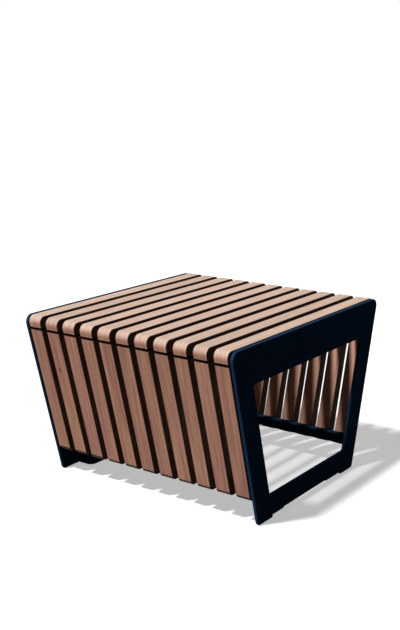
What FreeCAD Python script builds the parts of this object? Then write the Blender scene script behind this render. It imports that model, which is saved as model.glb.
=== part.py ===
import FreeCAD, Part
import math
import os

# A slatted stool: two trapezoid steel side frames, tied by steel rails that carry the wooden slats.
# Frame: X across the width, Y from front to back, Z up; the origin is on the floor under the centre.
# All sizes are in millimetres.

# Overall form
seat_height = 450.0
top_depth = 708.0
base_depth = 468.0

# Side frames, cut from plate
plate_thickness = 8.0
top_bar_height = 93.0
side_bar_width = 63.0
bottom_bar_height = 53.0
foot_height = 9.0
foot_length = 64.0
plate_corner_radius = 20.0
foot_corner_radius = 10.0
window_corner_radius = 10.0
notch_radius = 3.0
plate_arris_radius = 1.0

# Slats
slat_count = 11
slat_width = 38.5
slat_gap = 18.4
slat_side_clearance = 5.25
slat_thickness = 30.0
slat_floor_clearance = 63.5
slat_joint_gap = 5.0
nose_radius = 16.0
slat_end_radius = 16.0
slat_arris_radius = 0.5
slat_corner_ease = 1.0

# Corner rails, folded from sheet
corner_rail_sheet = 3.0
corner_rail_leg = 40.0
corner_rail_fold_radius = 2.0
corner_screw_inset = 25.0

# Lower rails, cut from rolled angle
lower_rail_thickness = 5.0
lower_rail_leg = 30.0
lower_rail_rise = 2.1
lower_rail_root_radius = 4.0
lower_rail_toe_radius = 2.0
lower_screw_rise = 12.5

# Pan-head wood screws with a hexagon socket
screw_shank_radius = 2.5
screw_bite = 20.0
screw_tip_length = 5.0
screw_head_radius = 4.5
screw_head_height = 3.2
screw_head_ease = 1.2
screw_socket_radius = 1.8
screw_socket_depth = 1.6
pilot_clearance = 0.1
pilot_end_clearance = 1.0
rail_hole_clearance = 0.3

# Anchor brackets behind the feet, cut from rolled angle
anchor_thickness = 8.0
anchor_reach = 45.0
anchor_width = 66.0
anchor_leg_height = 43.0
anchor_root_radius = 5.0
anchor_corner_radius = 17.0
anchor_foot_overlap = 2.0
anchor_hole_radius = 6.5
anchor_hole_inset = 26.0

# Worked-out sizes
lean = math.atan((top_depth - base_depth) / 2 / seat_height)
slat_pitch = slat_width + slat_gap
inner_half_width = ((slat_count - 1) * slat_pitch + slat_width) / 2 + slat_side_clearance
seat_underside = seat_height - slat_thickness
upright_top = seat_underside - slat_joint_gap
window_bottom = foot_height + bottom_bar_height
window_top = seat_height - top_bar_height
foot_inner = base_depth / 2 - foot_length
lower_rail_bottom = slat_floor_clearance + lower_rail_rise
slat_corner_radius = slat_arris_radius + slat_corner_ease
pilot_radius = screw_shank_radius + pilot_clearance
pilot_depth = screw_bite + pilot_end_clearance
rail_hole_radius = screw_shank_radius + rail_hole_clearance

FRONT = -1
BACK = 1
LEFT = -1
RIGHT = 1
ENDS = {"front": FRONT, "back": BACK}
SIDES = {"left": LEFT, "right": RIGHT}
HEXAGON = 6
PARALLEL_DEGREES = 2
PARALLEL = math.cos(math.radians(PARALLEL_DEGREES))


def reach(height, inset=0.0):
    """Distance from the centre plane to the leaning plane, moved inwards square to itself by inset."""
    return base_depth / 2 + height * math.tan(lean) - inset / math.cos(lean)


def rounded_wire(corners, place):
    """Closed wire through (u, v, radius) corners, each rounded by a tangent arc; place maps u, v to space."""
    flat = [FreeCAD.Vector(u, v, 0) for u, v, radius in corners]
    edges = []
    tangents = []
    for index, (u, v, radius) in enumerate(corners):
        corner = flat[index]
        before = (flat[index - 1] - corner).normalize()
        after = (flat[(index + 1) % len(flat)] - corner).normalize()
        half_angle = before.getAngle(after) / 2
        run = radius / math.tan(half_angle)
        middle = (before + after).normalize() * (radius / math.sin(half_angle) - radius)
        tangents.append((corner + before * run, corner + middle, corner + after * run, radius))
    for index, (start, middle, end, radius) in enumerate(tangents):
        if radius > 0:
            edges.append(Part.Arc(place(start), place(middle), place(end)).toShape())
        following = tangents[(index + 1) % len(tangents)][0]
        edges.append(Part.LineSegment(place(end), place(following)).toShape())
    return Part.Wire(edges)


def prism_along_x(corners, start, length):
    """Solid with a (y, z, radius) outline, from x = start along X."""
    wire = rounded_wire(corners, lambda point: FreeCAD.Vector(start, point.x, point.y))
    return Part.Face(wire).extrude(FreeCAD.Vector(length, 0, 0))


def prism_along_y(corners, start, length):
    """Solid with an (x, z, radius) outline, from y = start along Y."""
    wire = rounded_wire(corners, lambda point: FreeCAD.Vector(point.x, start, point.y))
    return Part.Face(wire).extrude(FreeCAD.Vector(0, length, 0))


def ease_end_faces(solid, radius):
    """Round the edges of the two faces that are square to X."""
    edges = []
    for face in solid.Faces:
        if isinstance(face.Surface, Part.Plane) and abs(face.normalAt(0, 0).x) > PARALLEL:
            edges.extend(face.Edges)
    return solid.makeFillet(radius, edges)


def slat_centres():
    """X of each slat's middle, from left to right."""
    first = -(slat_count - 1) * slat_pitch / 2
    return [first + index * slat_pitch for index in range(slat_count)]


# Screw fixings: a place on the slat's face, the screw's direction, and the steel between head and slat

def seat_fixing(end):
    """Upwards into a top slat, through the level leg of a corner rail."""
    distance = reach(seat_underside, slat_thickness) - corner_screw_inset
    return FreeCAD.Vector(0, end * distance, seat_underside), FreeCAD.Vector(0, 0, 1), corner_rail_sheet


def upright_fixing(end, height, steel):
    """Outwards into an upright slat, square to it, through the leaning leg of a rail."""
    place = FreeCAD.Vector(0, end * reach(height, slat_thickness), height)
    return place, FreeCAD.Vector(0, end * math.cos(lean), -math.sin(lean)), steel


def upper_fixing(end):
    return upright_fixing(end, seat_underside - corner_screw_inset * math.cos(lean), corner_rail_sheet)


def lower_fixing(end):
    return upright_fixing(end, lower_rail_bottom + lower_screw_rise * math.cos(lean), lower_rail_thickness)


def drilled(solid, fixings, x, radius, depth):
    """Cut each fixing's round hole at x, from before the screw's head to depth beyond the slat's face."""
    for place, direction, steel in fixings:
        back = steel + screw_head_height
        start = place + FreeCAD.Vector(x, 0, 0) - direction * back
        solid = solid.cut(Part.makeCylinder(radius, back + depth, start, direction))
    return solid


# Side frames

def side_frame(side):
    foot_outer = reach(0)
    top_outer = reach(seat_height)
    outline = [
        (-foot_outer, 0, foot_corner_radius),
        (-top_outer, seat_height, plate_corner_radius),
        (top_outer, seat_height, plate_corner_radius),
        (foot_outer, 0, foot_corner_radius),
        (foot_inner, 0, notch_radius),
        (foot_inner, foot_height, notch_radius),
        (-foot_inner, foot_height, notch_radius),
        (-foot_inner, 0, notch_radius),
    ]
    low = reach(window_bottom, side_bar_width)
    high = reach(window_top, side_bar_width)
    window = [
        (-low, window_bottom, window_corner_radius),
        (-high, window_top, window_corner_radius),
        (high, window_top, window_corner_radius),
        (low, window_bottom, window_corner_radius),
    ]
    start = inner_half_width if side == RIGHT else -inner_half_width - plate_thickness
    plate = prism_along_x(outline, start, plate_thickness)
    plate = plate.cut(prism_along_x(window, start, plate_thickness))
    return ease_end_faces(plate, plate_arris_radius)


# Slats

def top_slat(x):
    low = reach(seat_underside)
    high = reach(seat_height)
    outline = [
        (-low, seat_underside, slat_corner_radius),
        (-high, seat_height, nose_radius),
        (high, seat_height, nose_radius),
        (low, seat_underside, slat_corner_radius),
    ]
    board = ease_end_faces(prism_along_x(outline, x - slat_width / 2, slat_width), slat_arris_radius)
    return drilled(board, [seat_fixing(FRONT), seat_fixing(BACK)], x, pilot_radius, pilot_depth)


def upright_slat(x, end):
    outline = [
        (end * reach(slat_floor_clearance), slat_floor_clearance, slat_end_radius),
        (end * reach(upright_top), upright_top, slat_corner_radius),
        (end * reach(upright_top, slat_thickness), upright_top, slat_corner_radius),
        (end * reach(slat_floor_clearance, slat_thickness), slat_floor_clearance, slat_corner_radius),
    ]
    board = ease_end_faces(prism_along_x(outline, x - slat_width / 2, slat_width), slat_arris_radius)
    return drilled(board, [upper_fixing(end), lower_fixing(end)], x, pilot_radius, pilot_depth)


# Rails, welded between the side frames

def rail_with_screw_holes(outline, fixings):
    rail = prism_along_x(outline, -inner_half_width, 2 * inner_half_width)
    for x in slat_centres():
        rail = drilled(rail, fixings, x, rail_hole_radius, rail_hole_radius)
    return rail


def corner_rail(end):
    """Angle folded to the slats' lean: one leg under the top slats, one leg behind the upright slats."""
    fold = reach(seat_underside, slat_thickness)
    under = seat_underside - corner_rail_sheet
    inner_face = slat_thickness + corner_rail_sheet
    leg_end = seat_underside - corner_rail_leg * math.cos(lean)
    leg_end_inside = leg_end + corner_rail_sheet * math.sin(lean)
    outline = [
        (end * fold, seat_underside, corner_rail_fold_radius + corner_rail_sheet),
        (end * (fold - corner_rail_leg), seat_underside, 0),
        (end * (fold - corner_rail_leg), under, 0),
        (end * reach(under, inner_face), under, corner_rail_fold_radius),
        (end * reach(leg_end_inside, inner_face), leg_end_inside, 0),
        (end * reach(leg_end, slat_thickness), leg_end, 0),
    ]
    return rail_with_screw_holes(outline, [seat_fixing(end), upper_fixing(end)])


def lower_rail(end):
    """Square angle: one leg flat on the upright slats, one leg that stands off square to them at the top."""
    def corner(up_the_slat, off_the_slat, radius=0.0):
        height = lower_rail_bottom + up_the_slat * math.cos(lean) + off_the_slat * math.sin(lean)
        return end * reach(height, slat_thickness + off_the_slat), height, radius

    under = lower_rail_leg - lower_rail_thickness
    outline = [
        corner(0, 0),
        corner(lower_rail_leg, 0),
        corner(lower_rail_leg, lower_rail_leg),
        corner(under, lower_rail_leg, lower_rail_toe_radius),
        corner(under, lower_rail_thickness, lower_rail_root_radius),
        corner(0, lower_rail_thickness, lower_rail_toe_radius),
    ]
    return rail_with_screw_holes(outline, [lower_fixing(end)])


# Screws

def screw(head_seat, direction, length):
    """One screw, its head's underside at head_seat and its point along direction."""
    shank = Part.makeCylinder(screw_shank_radius, length - screw_tip_length)
    tip_start = FreeCAD.Vector(0, 0, length - screw_tip_length)
    tip = Part.makeCone(screw_shank_radius, 0, screw_tip_length, tip_start)
    head = Part.makeCylinder(screw_head_radius, screw_head_height, FreeCAD.Vector(0, 0, -screw_head_height))
    crown = [edge for edge in head.Edges if edge.Closed and edge.CenterOfMass.z < -screw_head_height / 2]
    head = head.makeFillet(screw_head_ease, crown)
    turns = [2 * math.pi * step / HEXAGON for step in range(HEXAGON + 1)]
    corners = [FreeCAD.Vector(screw_socket_radius * math.cos(turn), screw_socket_radius * math.sin(turn),
                              -screw_head_height) for turn in turns]
    socket = Part.Face(Part.makePolygon(corners)).extrude(FreeCAD.Vector(0, 0, screw_socket_depth))
    body = head.cut(socket).fuse([shank, tip]).removeSplitter()
    turn = FreeCAD.Rotation(FreeCAD.Vector(0, 0, 1), direction)
    body.Placement = FreeCAD.Placement(head_seat, turn)
    return body


def screw_row(fixing):
    """One screw per slat on the given fixing, heads seated on the rail's inner side."""
    place, direction, steel = fixing
    seat = place - direction * steel
    seats = [seat + FreeCAD.Vector(x, 0, 0) for x in slat_centres()]
    return Part.makeCompound([screw(head_seat, direction, steel + screw_bite) for head_seat in seats])


# Anchor brackets

def anchor_bracket(side, end):
    """Angle welded inside a side frame, with a floor flange that takes one anchor bolt."""
    wall = side * inner_half_width
    tip = wall - side * anchor_reach
    outline = [
        (wall, 0, 0),
        (tip, 0, 0),
        (tip, anchor_thickness, 0),
        (wall - side * anchor_thickness, anchor_thickness, anchor_root_radius),
        (wall - side * anchor_thickness, anchor_leg_height, 0),
        (wall, anchor_leg_height, 0),
    ]
    far = foot_inner + anchor_foot_overlap
    start = far - anchor_width if end == BACK else -far
    bracket = prism_along_y(outline, start, anchor_width)
    corners = []
    for edge in bracket.Edges:
        direction = edge.tangentAt(edge.FirstParameter)
        middle = edge.CenterOfMass
        at_tip = abs(direction.z) > PARALLEL and abs(middle.x - tip) < anchor_root_radius
        at_leg_top = abs(direction.x) > PARALLEL and abs(middle.z - anchor_leg_height) < anchor_root_radius
        if at_tip or at_leg_top:
            corners.append(edge)
    bracket = bracket.makeFillet(anchor_corner_radius, corners)
    hole_place = FreeCAD.Vector(wall - side * anchor_hole_inset, start + anchor_width / 2, 0)
    return bracket.cut(Part.makeCylinder(anchor_hole_radius, anchor_thickness, hole_place))


# Write one file per piece

def write(name, shape):
    shape.exportStep("parts/" + name + ".step")


os.makedirs("parts", exist_ok=True)

for side_name, side in SIDES.items():
    write(side_name + "_side_frame", side_frame(side))
    for end_name, end in ENDS.items():
        write("_".join([end_name, side_name, "anchor_bracket"]), anchor_bracket(side, end))

for number, x in enumerate(slat_centres(), start=1):
    label = "slat_{:02d}".format(number)
    write("top_" + label, top_slat(x))
    for end_name, end in ENDS.items():
        write(end_name + "_" + label, upright_slat(x, end))

for end_name, end in ENDS.items():
    write(end_name + "_corner_rail", corner_rail(end))
    write(end_name + "_lower_rail", lower_rail(end))
    write(end_name + "_seat_screws", screw_row(seat_fixing(end)))
    write(end_name + "_upper_screws", screw_row(upper_fixing(end)))
    write(end_name + "_lower_screws", screw_row(lower_fixing(end)))
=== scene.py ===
# %% [markdown]
# # A slatted stool: wooden slats on powder-coated steel frames
#
# The stool is built in CAD, at its real size, as separate pieces. This lesson dresses those pieces for a
# photograph: it gives each one the finish of the real material, adds the weld beads that hold the steel
# together, and sets up a floor, lamps and a camera.

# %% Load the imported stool
import math

import bpy
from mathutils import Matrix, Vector


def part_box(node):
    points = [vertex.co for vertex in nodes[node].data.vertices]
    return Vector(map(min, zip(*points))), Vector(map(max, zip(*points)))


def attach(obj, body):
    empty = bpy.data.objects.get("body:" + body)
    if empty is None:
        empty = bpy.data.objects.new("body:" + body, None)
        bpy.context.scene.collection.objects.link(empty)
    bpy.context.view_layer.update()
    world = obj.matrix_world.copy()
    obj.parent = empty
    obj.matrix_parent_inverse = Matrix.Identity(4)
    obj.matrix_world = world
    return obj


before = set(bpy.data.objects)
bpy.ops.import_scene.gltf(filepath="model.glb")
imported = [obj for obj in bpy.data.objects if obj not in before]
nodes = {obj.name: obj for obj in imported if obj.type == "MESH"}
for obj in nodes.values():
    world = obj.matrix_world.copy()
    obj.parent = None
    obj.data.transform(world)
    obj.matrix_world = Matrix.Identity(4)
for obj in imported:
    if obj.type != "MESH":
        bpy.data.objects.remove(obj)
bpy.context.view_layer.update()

# %% [markdown]
# ## Sorting the pieces
#
# The names of the CAD nodes say what each piece is, so a few words are enough to sort them by finish. The
# slats are sorted by direction as well: wood grain follows the length of a board, and the top slats lie
# level while the front and back slats lean outwards.

# %% Sort the nodes by what they are made of
groups = {
    "top slats": [name for name in nodes if name.startswith("top_slat")],
    "front slats": [name for name in nodes if name.startswith("front_slat")],
    "back slats": [name for name in nodes if name.startswith("back_slat")],
    "screws": [name for name in nodes if name.endswith("_screws")],
}
sorted_names = {name for names in groups.values() for name in names}
groups["steelwork"] = [name for name in nodes if name not in sorted_names]
for group, names in groups.items():
    print(group, len(names))

# %% [markdown]
# ## Measuring the slats
#
# The wood pattern differs from slat to slat, so the material needs to know which slat it is on. The slats
# stand side by side along X at one pitch, and the pitch is read from the boxes of two neighbours. The lean
# comes from the side frames: each end goes out 120 mm on its way up 450 mm.

# %% Measure the pitch and the lean
MM = 0.001
LEAN_OUT = 120 * MM
LEAN_RISE = 450 * MM
first_low, first_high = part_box("top_slat_01")
second_low, second_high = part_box("top_slat_02")
slat_pitch = second_low.x - first_low.x
slat_width = first_high.x - first_low.x
slat_row_start = (first_low.x + first_high.x) / 2 - slat_pitch / 2
lean = math.atan2(LEAN_OUT, LEAN_RISE)
print("slat pitch", slat_pitch, "slat width", slat_width, "lean in degrees", math.degrees(lean))

# %% [markdown]
# ## Helpers for materials
#
# Colours are picked as sRGB hex values, as on a paint card, but shaders work in linear light, so one
# function converts them. A second small function adds a node, sets its properties, and fills each input
# with a value or links it to another node's output.

# %% Colour and node helpers
def linear(hex_colour):
    """RGBA in linear light from an sRGB hex value such as #D8A98A."""
    channels = [int(hex_colour[place:place + 2], 16) / 255 for place in (1, 3, 5)]
    light = [c / 12.92 if c <= 0.04045 else ((c + 0.055) / 1.055) ** 2.4 for c in channels]
    return (*light, 1.0)


def add_node(tree, kind, inputs=None, **settings):
    """Add a node with its settings; each input takes a plain value or another node's output."""
    made = tree.nodes.new(kind)
    for name, value in settings.items():
        setattr(made, name, value)
    for name, value in (inputs or {}).items():
        if isinstance(value, bpy.types.NodeSocket):
            tree.links.new(value, made.inputs[name])
        else:
            made.inputs[name].default_value = value
    return made


def new_material(name):
    """An empty node material and its tree."""
    material = bpy.data.materials.new(name)
    material.use_nodes = True
    material.node_tree.nodes.clear()
    return material, material.node_tree


print("a check of the colour helper:", linear("#808080"))

# %% [markdown]
# ## The wood: oiled meranti
#
# The slats are planed, oiled boards of a pinkish tropical hardwood such as meranti. The eye sees soft
# streaks along each board, broad pink and tan zones, a fine fibre with short dark pores, and boards that
# differ in colour from one to the next. An image could show all that, but a solid pattern needs no seams:
# it is drawn on Object coordinates, turned so that Y runs along the board, and it changes slowly through
# the thickness, so the streaks carry on over the rounded noses.

# %% Wood colours and sizes
SLAT_TAN = "#E1AB8B"
SLAT_PINK = "#D59A88"
SLAT_DARK = "#AC725E"
ZONE_WIDTH = 22 * MM
ZONE_LENGTH = 420 * MM
STREAK_WIDTH = 8 * MM
STREAK_LENGTH = 300 * MM
# Real fibre is about half a millimetre wide, too fine to show here, so it is drawn as coarse as one pixel
FIBRE_WIDTH = 2.8 * MM
FIBRE_LENGTH = 120 * MM
GRAIN_DEPTH = 60 * MM
RING_WIDTH = 9 * MM
PITH_DEPTH = 70 * MM
# Oiled wood shines more than this, but the white surround would then grey its dark faces
WOOD_SHINE = 0.02
WAVE_PERIOD = 2 * math.pi / 20


def grain_noise(tree, place, width, length, detail):
    """Noise stretched along the board, and stretched a little through its thickness."""
    stretched = add_node(tree, "ShaderNodeMapping",
                         {"Vector": place, "Scale": (1 / width, 1 / length, 1 / GRAIN_DEPTH)})
    noise = add_node(tree, "ShaderNodeTexNoise",
                     {"Vector": stretched.outputs[0], "Scale": 1.0, "Detail": detail, "Roughness": 0.6})
    return noise.outputs["Fac"]


def board_pattern(tree, turn, seed):
    """Where each point lies in its own log, its distance from the slat's middle, and a number per slat."""
    place = add_node(tree, "ShaderNodeTexCoord").outputs["Object"]
    board = add_node(tree, "ShaderNodeMapping", {"Vector": place, "Rotation": (turn, 0, 0)})
    across = add_node(tree, "ShaderNodeSeparateXYZ", {"Vector": place})
    cell = add_node(tree, "ShaderNodeMath", {0: across.outputs["X"], 1: slat_row_start}, operation="SUBTRACT")
    cell = add_node(tree, "ShaderNodeMath", {0: cell.outputs[0], 1: slat_pitch}, operation="DIVIDE")
    middle = add_node(tree, "ShaderNodeMath", {0: cell.outputs[0]}, operation="FRACT")
    middle = add_node(tree, "ShaderNodeMath", {0: middle.outputs[0], 1: 0.5}, operation="SUBTRACT")
    middle = add_node(tree, "ShaderNodeMath", {0: middle.outputs[0], 1: slat_pitch}, operation="MULTIPLY")
    middle = add_node(tree, "ShaderNodeMath", {0: middle.outputs[0]}, operation="ABSOLUTE")
    cell = add_node(tree, "ShaderNodeMath", {0: cell.outputs[0]}, operation="FLOOR")
    cell = add_node(tree, "ShaderNodeMath", {0: cell.outputs[0], 1: seed}, operation="ADD")
    chance = add_node(tree, "ShaderNodeTexWhiteNoise", {"W": cell.outputs[0]}, noise_dimensions="1D")
    shift = add_node(tree, "ShaderNodeVectorMath", {0: chance.outputs["Color"], 1: (0.08, 3.0, 0.06)},
                     operation="MULTIPLY")
    log = add_node(tree, "ShaderNodeVectorMath", {0: board.outputs[0], 1: shift.outputs[0]}, operation="ADD")
    return log.outputs[0], middle.outputs[0], chance.outputs["Value"]


print("one fibre is drawn", FIBRE_WIDTH / MM, "mm wide and", FIBRE_LENGTH / MM, "mm long")

# %% [markdown]
# ### Painted light and shade on the wood
#
# The wood gets painted light and painted shade. Faces that look up are painted paler, the seat most and the
# upright slats less. The sides and undersides are painted a grey-brown shade, and a thin line of it runs
# along the edges of every slat, where the joints are shaded. The sawn ends of the upright slats are painted
# near black: end grain takes up more oil and darkens a little, and the rest is painted shade in the joint
# under the nose and on the rounded lower end. This could be painted by hand. Here the direction that a face
# looks in decides, and for the edges the place across the slat.

# %% Painted light and shade by the direction of the face
# Painted light: the paler colours that faces looking up are mixed towards, on the seat and on the upright
# slats
SLAT_PAINTED_LIGHT_TOP = "#DDC5B2"
SLAT_PAINTED_LIGHT_UPRIGHT = "#E8B196"
# Painted shade on the sides, undersides and edges of the slats
SLAT_PAINTED_SHADE = "#735E55"
# Painted shade on the sawn ends of the upright slats, darker than their end grain alone
END_GRAIN_AND_SHADE = "#1E130F"
PAINTED_LIGHT_STRENGTH = 0.8
SHADING = 0.9
# Painted shade along each slat's edges, half a millimetre wide; on the foreshortened top it is drawn wider,
# or it would not show
EDGE_SHADE_UPRIGHT = 0.5 * MM
EDGE_SHADE_TOP = 1.4 * MM


def painted_light_and_shade(tree, colour, across, turn, level):
    """Painted light on faces that look up, painted shade on sides, undersides, edges and sawn upright ends.
    """
    normal = add_node(tree, "ShaderNodeNewGeometry").outputs["Normal"]
    facing = add_node(tree, "ShaderNodeSeparateXYZ", {"Vector": normal})
    # Painted light: faces that look up are mixed towards a paler colour
    painted_light_mask = add_node(tree, "ShaderNodeMapRange",
                      {"Value": facing.outputs["Z"], "From Min": -0.2, "From Max": 0.65 if level else 0.25,
                       "To Max": PAINTED_LIGHT_STRENGTH},
                      interpolation_type="SMOOTHSTEP")
    colour = add_node(tree, "ShaderNodeMix",
                      {0: painted_light_mask.outputs[0], 6: colour, 7: linear(SLAT_PAINTED_LIGHT_TOP if level else SLAT_PAINTED_LIGHT_UPRIGHT)},
                      data_type="RGBA")
    if not level:
        # Painted shade: faces that look along an upright board, at its sawn ends, are mixed towards near
        # black
        along = add_node(tree, "ShaderNodeMapping", {"Vector": normal, "Rotation": (turn, 0, 0)})
        along = add_node(tree, "ShaderNodeSeparateXYZ", {"Vector": along.outputs[0]})
        along = add_node(tree, "ShaderNodeMath", {0: along.outputs["Y"]}, operation="ABSOLUTE")
        sawn_end_shade = add_node(tree, "ShaderNodeMapRange",
                        {"Value": along.outputs[0], "From Min": 0.03, "From Max": 0.2},
                        interpolation_type="SMOOTHSTEP")
        colour = add_node(tree, "ShaderNodeMix",
                          {0: sawn_end_shade.outputs[0], 6: colour.outputs[2], 7: linear(END_GRAIN_AND_SHADE)}, data_type="RGBA")
    # Painted shade: faces that look sideways or down, and a thin line along each edge, are mixed towards
    # grey-brown
    sideways = add_node(tree, "ShaderNodeMath", {0: facing.outputs["X"]}, operation="ABSOLUTE")
    sideways = add_node(tree, "ShaderNodeMapRange",
                        {"Value": sideways.outputs[0], "From Min": 0.45, "From Max": 0.95, "To Max": SHADING},
                        interpolation_type="SMOOTHSTEP")
    under = add_node(tree, "ShaderNodeMapRange",
                     {"Value": facing.outputs["Z"], "From Min": -0.3, "From Max": -0.75, "To Max": SHADING},
                     interpolation_type="SMOOTHSTEP")
    shaded = add_node(tree, "ShaderNodeMath", {0: sideways.outputs[0], 1: under.outputs[0]},
                      operation="MAXIMUM")
    # Painted shade: a thin line along each edge of the slat
    edge_shade_width = EDGE_SHADE_TOP if level else EDGE_SHADE_UPRIGHT
    edge = add_node(tree, "ShaderNodeMath", {0: across, 1: slat_width / 2 - edge_shade_width}, operation="GREATER_THAN")
    shaded = add_node(tree, "ShaderNodeMath", {0: shaded.outputs[0], 1: edge.outputs[0]}, operation="MAXIMUM")
    colour = add_node(tree, "ShaderNodeMix",
                      {0: shaded.outputs[0], 6: colour.outputs[2], 7: linear(SLAT_PAINTED_SHADE)}, data_type="RGBA")
    return colour.outputs[2]


# The pale top is painted light and the grey-brown joints are painted shade
print("bleached to", SLAT_PAINTED_LIGHT_TOP, "on top, grey-brown", SLAT_PAINTED_SHADE, "in the joints")

# %% [markdown]
# ### A knot
#
# One front slat shows a small dark knot. It is a soft spot, longer along the board than across, at its real
# place.

# %% Knot
KNOT_PLACE = (-233 * MM, -317 * MM, 310.7 * MM)
KNOT_SIZE = (7 * MM, 9 * MM, 10 * MM)
KNOT_BROWN = "#7A4A3D"


def with_knot(tree, colour):
    """Darken a small spot about the knot's place."""
    place = add_node(tree, "ShaderNodeTexCoord").outputs["Object"]
    apart = add_node(tree, "ShaderNodeVectorMath", {0: place, 1: KNOT_PLACE}, operation="SUBTRACT")
    apart = add_node(tree, "ShaderNodeVectorMath", {0: apart.outputs[0], 1: KNOT_SIZE}, operation="DIVIDE")
    apart = add_node(tree, "ShaderNodeVectorMath", {0: apart.outputs[0]}, operation="LENGTH")
    spot = add_node(tree, "ShaderNodeMapRange",
                    {"Value": apart.outputs["Value"], "From Min": 1.0, "From Max": 0.2, "To Max": 0.7},
                    interpolation_type="SMOOTHSTEP")
    colour = add_node(tree, "ShaderNodeMix",
                      {0: spot.outputs[0], 6: colour, 7: linear(KNOT_BROWN)}, data_type="RGBA")
    return colour.outputs[2]


print("knot at", KNOT_PLACE)

# %% [markdown]
# ### The finished wood
#
# Broad zones choose between tan and pink, narrow streaks and growth rings darken the wood, and the fibre
# and each board's own shade scale the result. Oil leaves a soft sheen that is rougher in the open pores,
# and the fibre raises the surface a little.

# %% Wood material
def oiled_wood(name, turn, seed, level=False, knotty=False):
    """Oiled hardwood; turn rotates the pattern about X until Y runs along the board."""
    material, tree = new_material(name)
    log, across, chance = board_pattern(tree, turn, seed)
    zones = grain_noise(tree, log, ZONE_WIDTH, ZONE_LENGTH, 2.0)
    streaks = grain_noise(tree, log, STREAK_WIDTH, STREAK_LENGTH, 4.0)
    fibre = grain_noise(tree, log, FIBRE_WIDTH, FIBRE_LENGTH, 3.0)

    # Growth rings about a pith that lies below the board
    pith = add_node(tree, "ShaderNodeVectorMath", {0: log, 1: (0, 0, PITH_DEPTH)}, operation="ADD")
    rings = add_node(tree, "ShaderNodeTexWave",
                     {"Vector": pith.outputs[0], "Scale": WAVE_PERIOD / RING_WIDTH, "Distortion": 1.2,
                      "Detail": 2.0, "Detail Scale": 1.5},
                     wave_type="RINGS", rings_direction="Y")

    # Colour: tan and pink zones, darker streaks and rings, then painted light and shade, fibre and each
    # board's own shade
    pinkness = add_node(tree, "ShaderNodeMapRange", {"Value": zones, "From Min": 0.36, "From Max": 0.64})
    colour = add_node(tree, "ShaderNodeMix",
                      {0: pinkness.outputs[0], 6: linear(SLAT_TAN), 7: linear(SLAT_PINK)}, data_type="RGBA")
    streaked = add_node(tree, "ShaderNodeMapRange",
                        {"Value": streaks, "From Min": 0.42, "From Max": 0.75, "To Max": 0.75})
    ringed = add_node(tree, "ShaderNodeMath", {0: rings.outputs["Fac"], 1: streaked.outputs[0]},
                      operation="MULTIPLY")
    late = add_node(tree, "ShaderNodeMath", {0: ringed.outputs[0], 1: streaked.outputs[0]}, operation="ADD")
    late = add_node(tree, "ShaderNodeMath", {0: late.outputs[0], 1: 0.5}, operation="MULTIPLY")
    colour = add_node(tree, "ShaderNodeMix",
                      {0: late.outputs[0], 6: colour.outputs[2], 7: linear(SLAT_DARK)}, data_type="RGBA")
    colour = with_knot(tree, colour.outputs[2]) if knotty else colour.outputs[2]
    colour = painted_light_and_shade(tree, colour, across, turn, level)
    shade = add_node(tree, "ShaderNodeMapRange", {"Value": chance, "To Min": 0.93, "To Max": 1.06})
    grain = add_node(tree, "ShaderNodeMapRange",
                     {"Value": fibre, "From Min": 0.3, "From Max": 0.7,
                      "To Min": 0.8 if level else 0.73, "To Max": 1.14 if level else 1.21})
    tone = add_node(tree, "ShaderNodeMath", {0: shade.outputs[0], 1: grain.outputs[0]}, operation="MULTIPLY")
    colour = add_node(tree, "ShaderNodeVectorMath", {0: colour, "Scale": tone.outputs[0]}, operation="SCALE")

    gloss = add_node(tree, "ShaderNodeMapRange",
                     {"Value": fibre, "From Min": 0.3, "From Max": 0.7, "To Min": 0.65, "To Max": 0.5})
    relief = add_node(tree, "ShaderNodeBump", {"Strength": 0.25, "Distance": 0.3 * MM, "Height": fibre})
    shader = add_node(tree, "ShaderNodeBsdfPrincipled",
                      {"Base Color": colour.outputs[0], "Roughness": gloss.outputs[0], "IOR": 1.5,
                       "Specular IOR Level": WOOD_SHINE, "Normal": relief.outputs[0]})
    add_node(tree, "ShaderNodeOutputMaterial", {"Surface": shader.outputs[0]})
    return material


quarter = math.pi / 2
wood = {
    "top slats": oiled_wood("oiled_meranti_top", 0.0, 3.0, level=True),
    "front slats": oiled_wood("oiled_meranti_front", -quarter - lean, 41.0, knotty=True),
    "back slats": oiled_wood("oiled_meranti_back", lean - quarter, 83.0),
}
for group, material in wood.items():
    for name in groups[group]:
        nodes[name].data.materials[0] = material
    print(material.name, "on", len(groups[group]), group)

# %% [markdown]
# ## The steel: powder coat
#
# The frames, rails and brackets are steel plate and folded sheet with a baked powder coat in a deep blue.
# Powder melts into a skin with a slight orange peel, so it is matt and even, and it looks almost black in
# the shade. The peel is about a millimetre across, too fine to show here, so it is drawn twice as coarse.

# %% Powder-coat material
COAT_BLUE = "#224469"
COAT_DEEP = "#1C3A5A"
PEEL_WIDTH = 2.2 * MM
CLOUD_WIDTH = 70 * MM
# As with the wood, kept below the real shine so that the white surround leaves the shade dark
COAT_SHINE = 0.001


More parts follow.
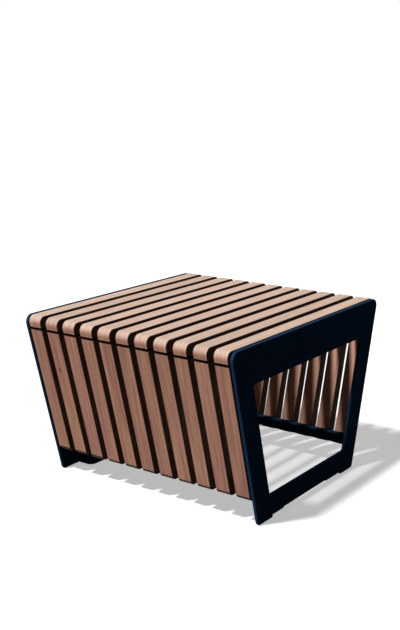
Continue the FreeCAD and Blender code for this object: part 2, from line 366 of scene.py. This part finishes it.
def powder_coat(name):
    material, tree = new_material(name)
    place = add_node(tree, "ShaderNodeTexCoord").outputs["Object"]
    peel = add_node(tree, "ShaderNodeTexNoise",
                    {"Vector": place, "Scale": 1 / PEEL_WIDTH, "Detail": 2.0, "Roughness": 0.5})
    cloud = add_node(tree, "ShaderNodeTexNoise", {"Vector": place, "Scale": 1 / CLOUD_WIDTH, "Detail": 4.0})
    colour = add_node(tree, "ShaderNodeMix",
                      {0: cloud.outputs["Fac"], 6: linear(COAT_BLUE), 7: linear(COAT_DEEP)}, data_type="RGBA")
    gloss = add_node(tree, "ShaderNodeMapRange",
                     {"Value": cloud.outputs["Fac"], "To Min": 0.5, "To Max": 0.68})
    relief = add_node(tree, "ShaderNodeBump",
                      {"Strength": 0.2, "Distance": 0.2 * MM, "Height": peel.outputs["Fac"]})
    shader = add_node(tree, "ShaderNodeBsdfPrincipled",
                      {"Base Color": colour.outputs[2], "Roughness": gloss.outputs[0], "IOR": 1.5,
                       "Specular IOR Level": COAT_SHINE, "Normal": relief.outputs[0]})
    add_node(tree, "ShaderNodeOutputMaterial", {"Surface": shader.outputs[0]})
    return material


coat = powder_coat("powder_coated_steel_blue")
for name in groups["steelwork"]:
    nodes[name].data.materials[0] = coat
print(coat.name, "on", len(groups["steelwork"]), "pieces")

# %% [markdown]
# ## The welds
#
# The rails and brackets are taken to be joined to the side frames by short stitch welds on the inside,
# under the powder coat. A weld bead is a row of ripples, one for each step of the torch. A plain rod would
# look too smooth, and a ripple drawn only in the material would have no rounded outline. So one bead is
# modelled: a cylinder, cut into rings along its length, with every second ring drawn in a little and both
# ends drawn in further.

# %% Model one weld bead
BEAD_LENGTH = 14 * MM
BEAD_RADIUS = 3 * MM
BEAD_SIDES = 16
BEAD_CUTS = 13
RIPPLE = 0.86
END_TAPER = 0.35


def select_ring(mesh, height):
    """In edit mode, select only the vertices at one height."""
    bpy.ops.mesh.select_all(action="DESELECT")
    bpy.ops.object.mode_set(mode="OBJECT")
    for vertex in mesh.vertices:
        vertex.select = abs(vertex.co.z - height) < BEAD_LENGTH / BEAD_CUTS / 4
    bpy.ops.object.mode_set(mode="EDIT")


def weld_bead():
    """One bead about the origin, along Z."""
    bpy.ops.object.select_all(action="DESELECT")
    bpy.ops.mesh.primitive_cylinder_add(vertices=BEAD_SIDES, radius=BEAD_RADIUS, depth=BEAD_LENGTH)
    bead = bpy.context.object
    mesh = bead.data
    for edge in mesh.edges:
        first, second = (mesh.vertices[index].co for index in edge.vertices)
        edge.select = abs(first.z - second.z) > BEAD_LENGTH / 2
    for part in (*mesh.vertices, *mesh.polygons):
        part.select = False
    bpy.ops.object.mode_set(mode="EDIT")
    bpy.ops.mesh.select_mode(type="EDGE")
    bpy.ops.mesh.subdivide(number_cuts=BEAD_CUTS)
    bpy.ops.mesh.select_mode(type="VERT")
    rings = BEAD_CUTS + 1
    for ring in range(rings + 1):
        at_end = ring in (0, rings)
        size = END_TAPER if at_end else RIPPLE if ring % 2 == 0 else 1.0
        select_ring(mesh, BEAD_LENGTH * (ring / rings - 0.5))
        bpy.ops.transform.resize(value=(size, size, 1))
    bpy.ops.object.mode_set(mode="OBJECT")
    bpy.ops.object.shade_smooth()
    return bead


bead = weld_bead()
print("one bead has", len(bead.data.vertices), "vertices and", len(bead.data.polygons), "faces")

# %% [markdown]
# ### Placing the beads
#
# Each end of a rail gets two beads: one under the leg that stands off the slats, and one along the leg that
# lies on them. Each bracket gets one bead along the top of its leg and one at each end. A place is given,
# as on a workshop drawing, by its distance from the centre plane and its height. A bead sits in the corner
# between the piece and the frame, partly sunk into both.

# %% Place the beads
BEAD_OFFSET = 1 * MM
ALONG_Y = (quarter, 0, 0)
UPRIGHT = (0, 0, 0)
# Sizes in mm: half the depth of the stool at the floor, and the thickness of a slat
BASE_HALF_DEPTH = 234
SLAT_THICKNESS = 30
# Distance from the centre plane, height and turn
CORNER_LEVEL_WELD = (293, 416, ALONG_Y)
BRACKET_WELDS = [(139, 44, ALONG_Y), (105, 17, UPRIGHT), (173, 17, UPRIGHT)]
# Height and distance off the slats
CORNER_LEANING_WELD = (390, 4)
LOWER_LEVEL_WELD = (93, 17)
LOWER_LEANING_WELD = (76, 6)
plate_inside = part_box("right_side_frame")[0].x


def behind_slats(height, off, turn):
    """A bead's distance, height and turn, from its height and how far it lies off the upright slats."""
    outside = BASE_HALF_DEPTH + height * math.tan(lean)
    return outside - (SLAT_THICKNESS + off) / math.cos(lean), height, turn


def place_beads(piece, end, sides, places):
    """Copy the bead to each place on the given sides, and join the copies into one piece."""
    bpy.ops.object.select_all(action="DESELECT")
    for side in sides:
        for distance, height, turn in places:
            copy = bead.copy()
            copy.data = bead.data.copy()
            copy.location = (side * (plate_inside - BEAD_OFFSET), end * distance * MM, height * MM)
            copy.rotation_euler = turn
            bpy.context.scene.collection.objects.link(copy)
            copy.select_set(True)
            bpy.context.view_layer.objects.active = copy
    bpy.ops.object.transform_apply(location=True, rotation=True, scale=True)
    bpy.ops.object.join()
    welds = bpy.context.object
    welds.name = piece + "_welds"
    welds.data.materials.append(coat)
    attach(welds, "root")
    print(welds.name, "has", len(sides) * len(places), "beads")


for end_name, end in (("front", -1), ("back", 1)):
    along_slats = (-end * lean, 0, 0)
    off_slats = (end * (quarter - lean), 0, 0)
    place_beads(end_name + "_corner_rail", end, (-1, 1),
                [CORNER_LEVEL_WELD, behind_slats(*CORNER_LEANING_WELD, along_slats)])
    place_beads(end_name + "_lower_rail", end, (-1, 1),
                [behind_slats(*LOWER_LEVEL_WELD, off_slats), behind_slats(*LOWER_LEANING_WELD, along_slats)])
    for side_name, side in (("left", -1), ("right", 1)):
        place_beads(end_name + "_" + side_name + "_anchor_bracket", end, (side,), BRACKET_WELDS)
bpy.data.objects.remove(bead)

# %% [markdown]
# ## The screws: black zinc flake
#
# The screws have a thin black zinc-flake coat against rust. It is dull, and the flakes make it slightly
# uneven, with a faint metallic grey where the driver has rubbed it.

# %% Blackened screw material
FLAKE_BLACK = "#0D0E10"
FLAKE_GREY = "#1A1B1E"
FLAKE_WIDTH = 1.5 * MM
FLAKE_SHINE = 0.01


def blackened_steel(name):
    material, tree = new_material(name)
    place = add_node(tree, "ShaderNodeTexCoord").outputs["Object"]
    flakes = add_node(tree, "ShaderNodeTexNoise",
                      {"Vector": place, "Scale": 1 / FLAKE_WIDTH, "Detail": 3.0, "Roughness": 0.6})
    colour = add_node(tree, "ShaderNodeMix",
                      {0: flakes.outputs["Fac"], 6: linear(FLAKE_BLACK), 7: linear(FLAKE_GREY)},
                      data_type="RGBA")
    gloss = add_node(tree, "ShaderNodeMapRange",
                     {"Value": flakes.outputs["Fac"], "To Min": 0.45, "To Max": 0.65})
    shader = add_node(tree, "ShaderNodeBsdfPrincipled",
                      {"Base Color": colour.outputs[2], "Roughness": gloss.outputs[0], "IOR": 1.5,
                       "Specular IOR Level": FLAKE_SHINE})
    add_node(tree, "ShaderNodeOutputMaterial", {"Surface": shader.outputs[0]})
    return material


screw_coat = blackened_steel("zinc_flake_black_steel")
for name in groups["screws"]:
    nodes[name].data.materials[0] = screw_coat
print(screw_coat.name, "on", len(groups["screws"]), "rows of screws")

# %% [markdown]
# ## The studio
#
# The stool stands on a plain white floor in a soft, slightly warm light from all sides. What the camera
# sees of the floor is white with a pale grey shadow, so part of that white is a glow that only the camera
# and reflections see. For the light that bounces up, the floor is a dark grey, so the undersides stay dark.

# %% Floor and world
FLOOR_SIZE = 60.0
FLOOR_GLOW = 0.46
FLOOR_WHITE = "#FCFEFF"
FLOOR_LIT = 0.9
FLOOR_BOUNCE = 0.04
FILL_LIGHT = 0.035
FILL_WARM = "#FFF1DC"


def seen_by_camera(tree):
    """1 for rays from the camera, a reflection or a clear material, 0 for light that bounces."""
    path = add_node(tree, "ShaderNodeLightPath")
    seen = add_node(tree, "ShaderNodeMath",
                    {0: path.outputs["Is Camera Ray"], 1: path.outputs["Is Glossy Ray"]}, operation="MAXIMUM")
    seen = add_node(tree, "ShaderNodeMath",
                    {0: seen.outputs[0], 1: path.outputs["Is Transmission Ray"]}, operation="MAXIMUM")
    return seen.outputs[0]


def studio_floor():
    material, tree = new_material("studio_floor_white")
    glow = add_node(tree, "ShaderNodeEmission", {"Color": linear(FLOOR_WHITE), "Strength": FLOOR_GLOW})
    paint = add_node(tree, "ShaderNodeBsdfDiffuse", {"Color": (FLOOR_LIT, FLOOR_LIT, FLOOR_LIT, 1)})
    shown = add_node(tree, "ShaderNodeAddShader", {0: glow.outputs[0], 1: paint.outputs[0]})
    bounce = add_node(tree, "ShaderNodeBsdfDiffuse", {"Color": (FLOOR_BOUNCE, FLOOR_BOUNCE, FLOOR_BOUNCE, 1)})
    surface = add_node(tree, "ShaderNodeMixShader",
                       {0: seen_by_camera(tree), 1: bounce.outputs[0], 2: shown.outputs[0]})
    add_node(tree, "ShaderNodeOutputMaterial", {"Surface": surface.outputs[0]})
    bpy.ops.object.select_all(action="DESELECT")
    bpy.ops.mesh.primitive_plane_add(size=FLOOR_SIZE)
    floor = bpy.context.object
    floor.name = "studio_floor"
    floor.data.materials.append(material)
    return floor


def studio_world():
    world = bpy.data.worlds.new("studio_world")
    world.use_nodes = True
    tree = world.node_tree
    tree.nodes.clear()
    white = add_node(tree, "ShaderNodeBackground", {"Color": (1, 1, 1, 1), "Strength": 1.0})
    fill = add_node(tree, "ShaderNodeBackground", {"Color": linear(FILL_WARM), "Strength": FILL_LIGHT})
    surface = add_node(tree, "ShaderNodeMixShader",
                       {0: seen_by_camera(tree), 1: fill.outputs[0], 2: white.outputs[0]})
    add_node(tree, "ShaderNodeOutputWorld", {"Surface": surface.outputs[0]})
    bpy.context.scene.world = world


studio_floor()
studio_world()
print("floor and world ready")

# %% [markdown]
# ## Lamps and camera
#
# One strong lamp stands far away, high at the front left. The slope of the shadows gives its direction: for
# each metre of drop they move 0.21 m to the right and 0.55 m to the back, and their edges are as soft as
# from a disc a few degrees wide. Two weak lamps near the floor, one at the front and one at the back, fill
# the upright faces that the strong one only grazes. The camera stands in front, to the right, a little
# above the seat.

# %% Lamps
LAMPS = {
    "key_lamp": {"travels": (0.21, 0.55, -1.0), "width_degrees": 5, "level": 0.98},
    "front_fill": {"travels": (0.525, 0.85, -0.06), "width_degrees": 4, "level": 0.21},
    "back_fill": {"travels": (0.75, -0.6, -0.06), "width_degrees": 10, "level": 0.25},
}
for name, lamp in LAMPS.items():
    lamp_data = bpy.data.lights.new(name, "SUN")
    lamp_data.energy = lamp["level"] * math.pi
    lamp_data.angle = math.radians(lamp["width_degrees"])
    lamp_object = bpy.data.objects.new(name, lamp_data)
    lamp_object.rotation_euler = Vector(lamp["travels"]).to_track_quat("-Z", "Y").to_euler()
    bpy.context.scene.collection.objects.link(lamp_object)
    print(name, "strength", lamp_data.energy)

# %% Camera
CAMERA_PLACE = Vector((1.5493, -2.1778, 1.0588))
CAMERA_TARGET = Vector((-0.0237, 0.0005, 0.4223))
CAMERA_LENS = 59.76

camera_data = bpy.data.cameras.new("camera")
camera_data.lens = CAMERA_LENS
camera = bpy.data.objects.new("camera", camera_data)
camera.location = CAMERA_PLACE
camera.rotation_euler = (CAMERA_TARGET - CAMERA_PLACE).to_track_quat("-Z", "Y").to_euler()
bpy.context.scene.collection.objects.link(camera)
bpy.context.scene.camera = camera
bpy.context.scene.view_settings.view_transform = "Standard"
print("camera at", tuple(camera.location))
